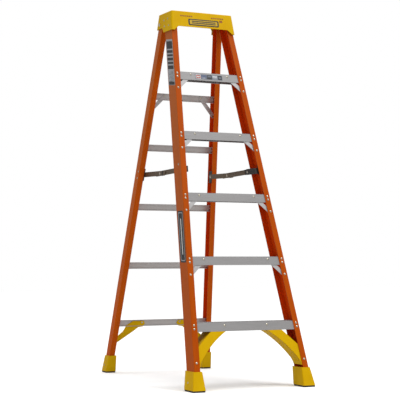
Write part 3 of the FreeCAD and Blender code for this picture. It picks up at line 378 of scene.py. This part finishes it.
def stadium(low, high, half):
    """An outline with round ends centred on low and high, as (along, up) pairs."""
    spots = []
    for centre, first in ((high, -90.0), (low, 90.0)):
        for step in range(END_STEPS + 1):
            angle = math.radians(first + 180.0 * step / END_STEPS)
            spots.append((centre + half * math.cos(angle), half * math.sin(angle)))
    return spots


def close_sides(bm, low, high):
    """Quads between two rings of vertices that have the same number of points."""
    faces = []
    for i in range(len(low)):
        after = (i + 1) % len(low)
        faces.append(bm.faces.new((low[i], low[after], high[after], high[i])))
    return faces


def make_piece(name, body, bm, looks):
    """Turns the mesh being built into a piece that rides on a body."""
    bmesh.ops.recalc_face_normals(bm, faces=bm.faces)
    mesh = bpy.data.meshes.new(name)
    bm.to_mesh(mesh)
    bm.free()
    for look in looks:
        mesh.materials.append(look)
    piece = bpy.data.objects.new(name, mesh)
    link(piece)
    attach(piece, body)
    return piece


def decal(name, body, place, layers):
    """Thin stacked prints: each layer is (outline, low lift, high lift, material)."""
    bm = bmesh.new()
    looks = []
    for spots, low, high, look in layers:
        if look not in looks:
            looks.append(look)
        bottom = [bm.verts.new(place(u, v, low) * MM) for u, v in spots]
        top = [bm.verts.new(place(u, v, high) * MM) for u, v in spots]
        faces = [bm.faces.new(top), bm.faces.new(list(reversed(bottom)))]
        faces += close_sides(bm, bottom, top)
        for face in faces:
            face.material_index = looks.index(look)
    make_piece(name, body, bm, looks)


def solid_rings(name, body, rings, look):
    """A closed piece lofted through rings that all have the same number of points."""
    bm = bmesh.new()
    loops = [[bm.verts.new(spot * MM) for spot in ring] for ring in rings]
    bm.faces.new(list(reversed(loops[0])))
    bm.faces.new(loops[-1])
    for low, high in zip(loops, loops[1:]):
        close_sides(bm, low, high)
    for face in bm.faces:
        face.smooth = len(face.verts) == 4
    return make_piece(name, body, bm, [look])


# ---------------------------------------------------------------- labels

FILM = (0.05, 0.30)                               # a label's own film: its lowest and top lift


def left_web(z, back, lift):
    """A point on the left front rail's outer face; back is the level distance from its edge."""
    out = unit(-1, 0, FRONT_SPLAY)
    return Vector((-front_web(z), front_face(z) + back, z)) + out * lift


def cap_front(x, z, lift):
    """A point on the cap's leaning front face."""
    out = unit(0, -1, CAP_LEAN)
    return Vector((x, CAP_FRONT + CAP_LEAN * (z - CAP_HEM), z)) + out * lift


def step_apron(x, z, lift):
    """A point on the front apron of the top step, which stands behind the rails' front walls."""
    out = unit(0, -1, FRONT_SLOPE)
    return Vector((x, front_face(z) + WALL * math.hypot(1, FRONT_SLOPE), z)) + out * lift


def cap_tray(x, y, lift):
    """A point over the floor of the cap's tray."""
    return Vector((x, y, TRAY_FLOOR + lift))


def web_label():
    """A long data plate: slanted dark bands and plain rules stand for its print."""
    plate_near, plate_far = 6, 76                 # from the rail's edge
    band_near, band_far = 10, 72
    lean = 9.0 / 70.0                             # rise of a slanted line for each unit of depth
    ink, fine_ink = (0.30, 0.38), (0.30, 0.36)

    def slanted(low, high, near, far, radius):
        near_rise, far_rise = (near - plate_near) * lean, (far - plate_near) * lean
        return ring_points([(low + near_rise, near), (low + far_rise, far),
                            (high + far_rise, far), (high + near_rise, near)], radius)

    layers = [(slanted(1384, 1614, plate_near, plate_far, 4.0), *FILM, silver_film)]
    for low, high in ((1386, 1402), (1464, 1482), (1489, 1500), (1507, 1521), (1528, 1538),
                      (1545, 1559), (1566, 1604)):
        layers.append((slanted(low, high, band_near, band_far, 1.5), *ink, black_film))
    first_rule, rule_pitch, rule_height = 1408, 5.8, 1.3
    for row in range(9):
        z = first_rule + row * rule_pitch
        rule = rectangle(z, 14, z + rule_height, 70 - 12 * (row % 3))
        layers.append((rule, *fine_ink, black_film))
    decal("rail_data_plate", "front_section", left_web, layers)


def web_badge():
    """A plain dark plaque low on the rail, with a pale border and one long pale stripe."""
    layers = [(rounded(556, 12, 790, 70, 9.0), *FILM, black_film),
              (rounded(563, 19, 783, 63, 6.0), 0.30, 0.38, silver_film),
              (rounded(567, 23, 779, 59, 4.5), 0.38, 0.45, black_film),
              (rounded(592, 37, 754, 45, 2.0), 0.45, 0.50, white_film)]
    decal("rail_plaque", "front_section", left_web, layers)


def cap_badge():
    """A plain framed plaque with two bars on the cap's front."""
    layers = [(rounded(-77, 1690, 85, 1722, 7.0), 0.05, 0.6, black_film),
              (rounded(-70, 1695, 78, 1717, 4.5), 0.6, 0.75, ochre_film)]
    for low in (1699.5, 1708.0):
        layers.append((rounded(-60, low, 68, low + 4.5, 2.0), 0.75, 0.9, black_film))
    decal("cap_plaque", "front_section", cap_front, layers)


def cap_rules():
    """Two rows of plain rules near the cap's top edge, and a small block under one of them."""
    ink = (0.05, 0.35)
    count, inked = 6, 0.8                         # rules in a row, inked part of their pitch
    layers = []
    for low, high in ((-118, -51), (46, 115)):
        pitch = (high - low) / count
        for i in range(count):
            rule = rectangle(low + i * pitch, 1731.0, low + (i + inked) * pitch, 1737.0)
            layers.append((rule, *ink, amber_film))
    layers.append((rounded(90, 1714, 106, 1726, 2.0), *ink, amber_film))
    decal("cap_rules", "front_section", cap_front, layers)


def step_label():
    """A slate plate with plain coloured blocks and rules."""
    block_thick, rule_thick, rule_height, rule_pitch = 0.07, 0.05, 0.9, 2.6
    first, second, third = 0.30, 0.37, 0.44       # lifts at which the stacked prints start

    def block(low_x, low, high_x, high, lift, look):
        outline = rounded(low_x, APRON_TOP - low, high_x, APRON_TOP - high, 1.0)
        return (outline, lift, lift + block_thick, look)

    layers = [(rounded(-74, APRON_TOP - 31, 69, APRON_TOP - 7, 2.0), *FILM, slate_film),
              block(-71, 29, -45, 9, first, white_film), block(-69, 27, -47, 11, second, red_film),
              block(-66, 22, -50, 16, third, white_film), block(-41, 28, -16, 10, first, blue_film),
              block(-12, 29, 13, 9, first, black_film), block(-9, 20, 10, 12, second, slate_film),
              block(17, 20, 42, 10, first, silver_film), block(46, 29, 66, 9, first, black_film),
              block(50, 24, 62, 14, second, slate_film)]
    for row in range(3):
        z = APRON_TOP - 28 + row * rule_pitch
        for low_x, high_x, lift in ((-39, -19, second), (17, 42, first)):
            layers.append((rectangle(low_x, z, high_x, z + rule_height), lift, lift + rule_thick,
                           silver_film))
    decal("step_label", "front_section", step_apron, layers)


# ---------------------------------------------------------------- spreader and cap details

# Distances along an arm are between its pin or the knuckle and the centre of a bead's round end,
# or the end of a folded strip.
BEAD_HALF, BEAD_CREST = 4.8, 0.6                  # a bead's half width at its foot and its crest
BEAD_RISE = 0.9
BEAD_STEPS = 6
FRONT_BEAD_START, REAR_BEAD_START = 34.0, 44.0    # from the pin
BEAD_END = 22.0                                   # short of the knuckle
COLLAR = (17.0, 25.0)                             # from the front pin
STOP = (26.0, 35.0)                               # past the knuckle
CLIP_SKIN = 0.8                                   # sheet thickness of the folded strips
CLIP_BITE = 0.1                                   # into the arm's edges, and short of its far face
EASE_RUN, EASE_IN = 0.4, 0.25                     # length and depth of a strip's eased ends


def arm_frame(side, layer, splay, pin_back):
    """point(along, up, out) on an arm: along runs from its pin to the knuckle, out is outward."""
    out = unit(side, 0, splay)
    up = unit(-side * splay, 0, 1)
    base = Vector((side * layer, pin_back, PIN_HEIGHT))
    run = Vector((0, 1, 0)) * (KNUCKLE[0] - pin_back) + up * (KNUCKLE[1] - PIN_HEIGHT)
    length = run.length
    run.normalize()
    cross = run.cross(out)
    if cross.z < 0:
        cross = -cross

    def point(along, high, lift):
        return base + run * along + cross * high + out * lift

    return point, length


def arm_bead(name, body, point, low, high, face, rise):
    """A pressed stiffening bead: a low smooth dome with round ends, rooted just under the face."""
    profile = [(BEAD_HALF, face - 0.4 * rise)]
    for step in range(BEAD_STEPS + 1):
        turn = math.radians(90.0 * step / BEAD_STEPS)
        half = BEAD_CREST + (BEAD_HALF - BEAD_CREST) * math.cos(turn)
        profile.append((half, face + rise * math.sin(turn)))
    rings = [[point(u, v, lift) for u, v in stadium(low, high, half)] for half, lift in profile]
    solid_rings(name, body, rings, dark_steel)


def arm_clip(name, body, point, low, high, inner, outer, skin):
    """A dark strip folded over one face and both edges of an arm; skin is its thickness."""
    edge = ARM_HALF + abs(skin)
    grip = ARM_HALF - CLIP_BITE
    section = [(edge, inner), (edge, outer + skin), (-edge, outer + skin), (-edge, inner),
               (-grip, inner), (-grip, outer), (grip, outer), (grip, inner)]
    rings = []
    for along, shy in ((low, EASE_IN), (low + EASE_RUN, 0.0), (high - EASE_RUN, 0.0),
                       (high, EASE_IN)):
        rings.append([point(along, v - math.copysign(shy if abs(v) > ARM_HALF else 0.0, v), w)
                      for v, w in section])
    piece = solid_rings(name, body, rings, black_steel)
    for face in piece.data.polygons:
        face.use_smooth = False


def spreader_details():
    """Beads pressed into the arms, the stop strip past the knuckle and the collar by the pin."""
    for word, side in SIDES:
        front_body, rear_body = f"spreader_front_{word}", f"spreader_rear_{word}"
        front, front_length = arm_frame(side, FRONT_LAYER, FRONT_SPLAY, FRONT_PIN)
        rear, rear_length = arm_frame(side, REAR_LAYER, REAR_SPLAY, REAR_PIN)
        arm_bead(f"spreader_bead_front_{word}", front_body, front, FRONT_BEAD_START,
                 front_length - BEAD_END, 0.0, -BEAD_RISE)
        arm_bead(f"spreader_bead_rear_{word}", rear_body, rear, REAR_BEAD_START,
                 rear_length - BEAD_END, ARM_THICK, BEAD_RISE)
        arm_clip(f"spreader_collar_{word}", front_body, front, COLLAR[0], COLLAR[1],
                 ARM_THICK - CLIP_BITE, 0.0, -CLIP_SKIN)
        arm_clip(f"spreader_stop_{word}", rear_body, rear, rear_length + STOP[0],
                 rear_length + STOP[1], CLIP_BITE, ARM_THICK, CLIP_SKIN)


def cap_tray_ribs():
    """Raised grip ribs on the floor of the cap's tray."""
    first, pitch, width, half_length = 13.0, 13.2, 4.5, 134
    ribs = []
    for row in range(9):
        y = first + row * pitch
        ribs.append((rounded(-half_length, y, half_length, y + width, 2.0), -0.3, 0.9, yellow))
    decal("cap_tray_ribs", "front_section", cap_tray, ribs)


# ---------------------------------------------------------------- floor, light and camera


def floor(half=14.0):
    """White to the camera; it throws back less light than it shows."""
    mesh = bpy.data.meshes.new("floor")
    corners = rectangle(-half, -half, half, half)
    mesh.from_pydata([(x, y, 0) for x, y in corners], [], [(0, 1, 2, 3)])
    plane = bpy.data.objects.new("floor", mesh)
    link(plane)
    s = Shader("floor_paper")
    mottle = s.noise(s.place(), 3.0, 3.0, 0.5)
    seen = s.mix(mottle, rgb(0.93, 0.93, 0.925), rgb(0.95, 0.95, 0.945))
    thrown_back = s.mix(mottle, rgb(0.56, 0.55, 0.54), rgb(0.60, 0.59, 0.58))
    straight = s.add("LightPath").outputs["Is Camera Ray"]
    s.set(Base_Color=s.mix(straight, thrown_back, seen), Roughness=0.9, Specular_IOR_Level=0.1)
    mesh.materials.append(s.mat)


def world(level):
    """Even white surroundings, brighter where the camera looks straight at them."""
    sky = bpy.data.worlds.new("studio")
    bpy.context.scene.world = sky
    sky.use_nodes = True
    tree = sky.node_tree
    soft = tree.nodes["Background"]
    backdrop = tree.nodes.new("ShaderNodeBackground")
    for node, strength in ((soft, level), (backdrop, 1.0)):
        node.inputs["Color"].default_value = (1, 1, 1, 1)
        node.inputs["Strength"].default_value = strength
    rays = tree.nodes.new("ShaderNodeLightPath")
    choose = tree.nodes.new("ShaderNodeMixShader")
    tree.links.new(rays.outputs["Is Camera Ray"], choose.inputs[0])
    tree.links.new(soft.outputs[0], choose.inputs[1])
    tree.links.new(backdrop.outputs[0], choose.inputs[2])
    tree.links.new(choose.outputs[0], tree.nodes["World Output"].inputs[0])


def lamp(name, kind, energy, place):
    data = bpy.data.lights.new(name, kind)
    data.energy = energy
    thing = bpy.data.objects.new(name, data)
    link(thing)
    thing.location = place
    return thing


def key_light():
    """A soft round light high in front, to the right."""
    place, target = Vector((1.7, -3.2, 5.4)), Vector((0, -0.1, 1.2))
    light = lamp("key", "AREA", 98.0, place)
    light.data.shape = "DISK"
    light.data.size = 2.2
    light.rotation_euler = (target - place).to_track_quat("-Z", "Y").to_euler()


def overhead():
    """A broad light from straight above."""
    light = lamp("overhead", "SUN", 2.2, (0, 0, 5))
    light.data.angle = math.radians(50)


def camera():
    """Low in front and to the left, looking slightly up."""
    place = (-2.62785, -5.3967, 0.58389)
    yaw, pitch = math.radians(25.91), math.radians(2.574)
    data = bpy.data.cameras.new("camera")
    data.sensor_width = 36.0
    data.lens = 112.7
    data.clip_end = 60.0
    eye = bpy.data.objects.new("camera", data)
    link(eye)
    turn = Matrix.Rotation(-yaw, 4, "Z") @ Matrix.Rotation(math.pi / 2 + pitch, 4, "X")
    eye.matrix_world = Matrix.Translation(place) @ turn
    bpy.context.scene.camera = eye


dress_nodes()
web_label()
web_badge()
cap_badge()
cap_rules()
step_label()
spreader_details()
cap_tray_ribs()
floor()
world(0.50)
key_light()
overhead()
camera()
bpy.context.scene.view_settings.view_transform = "Standard"
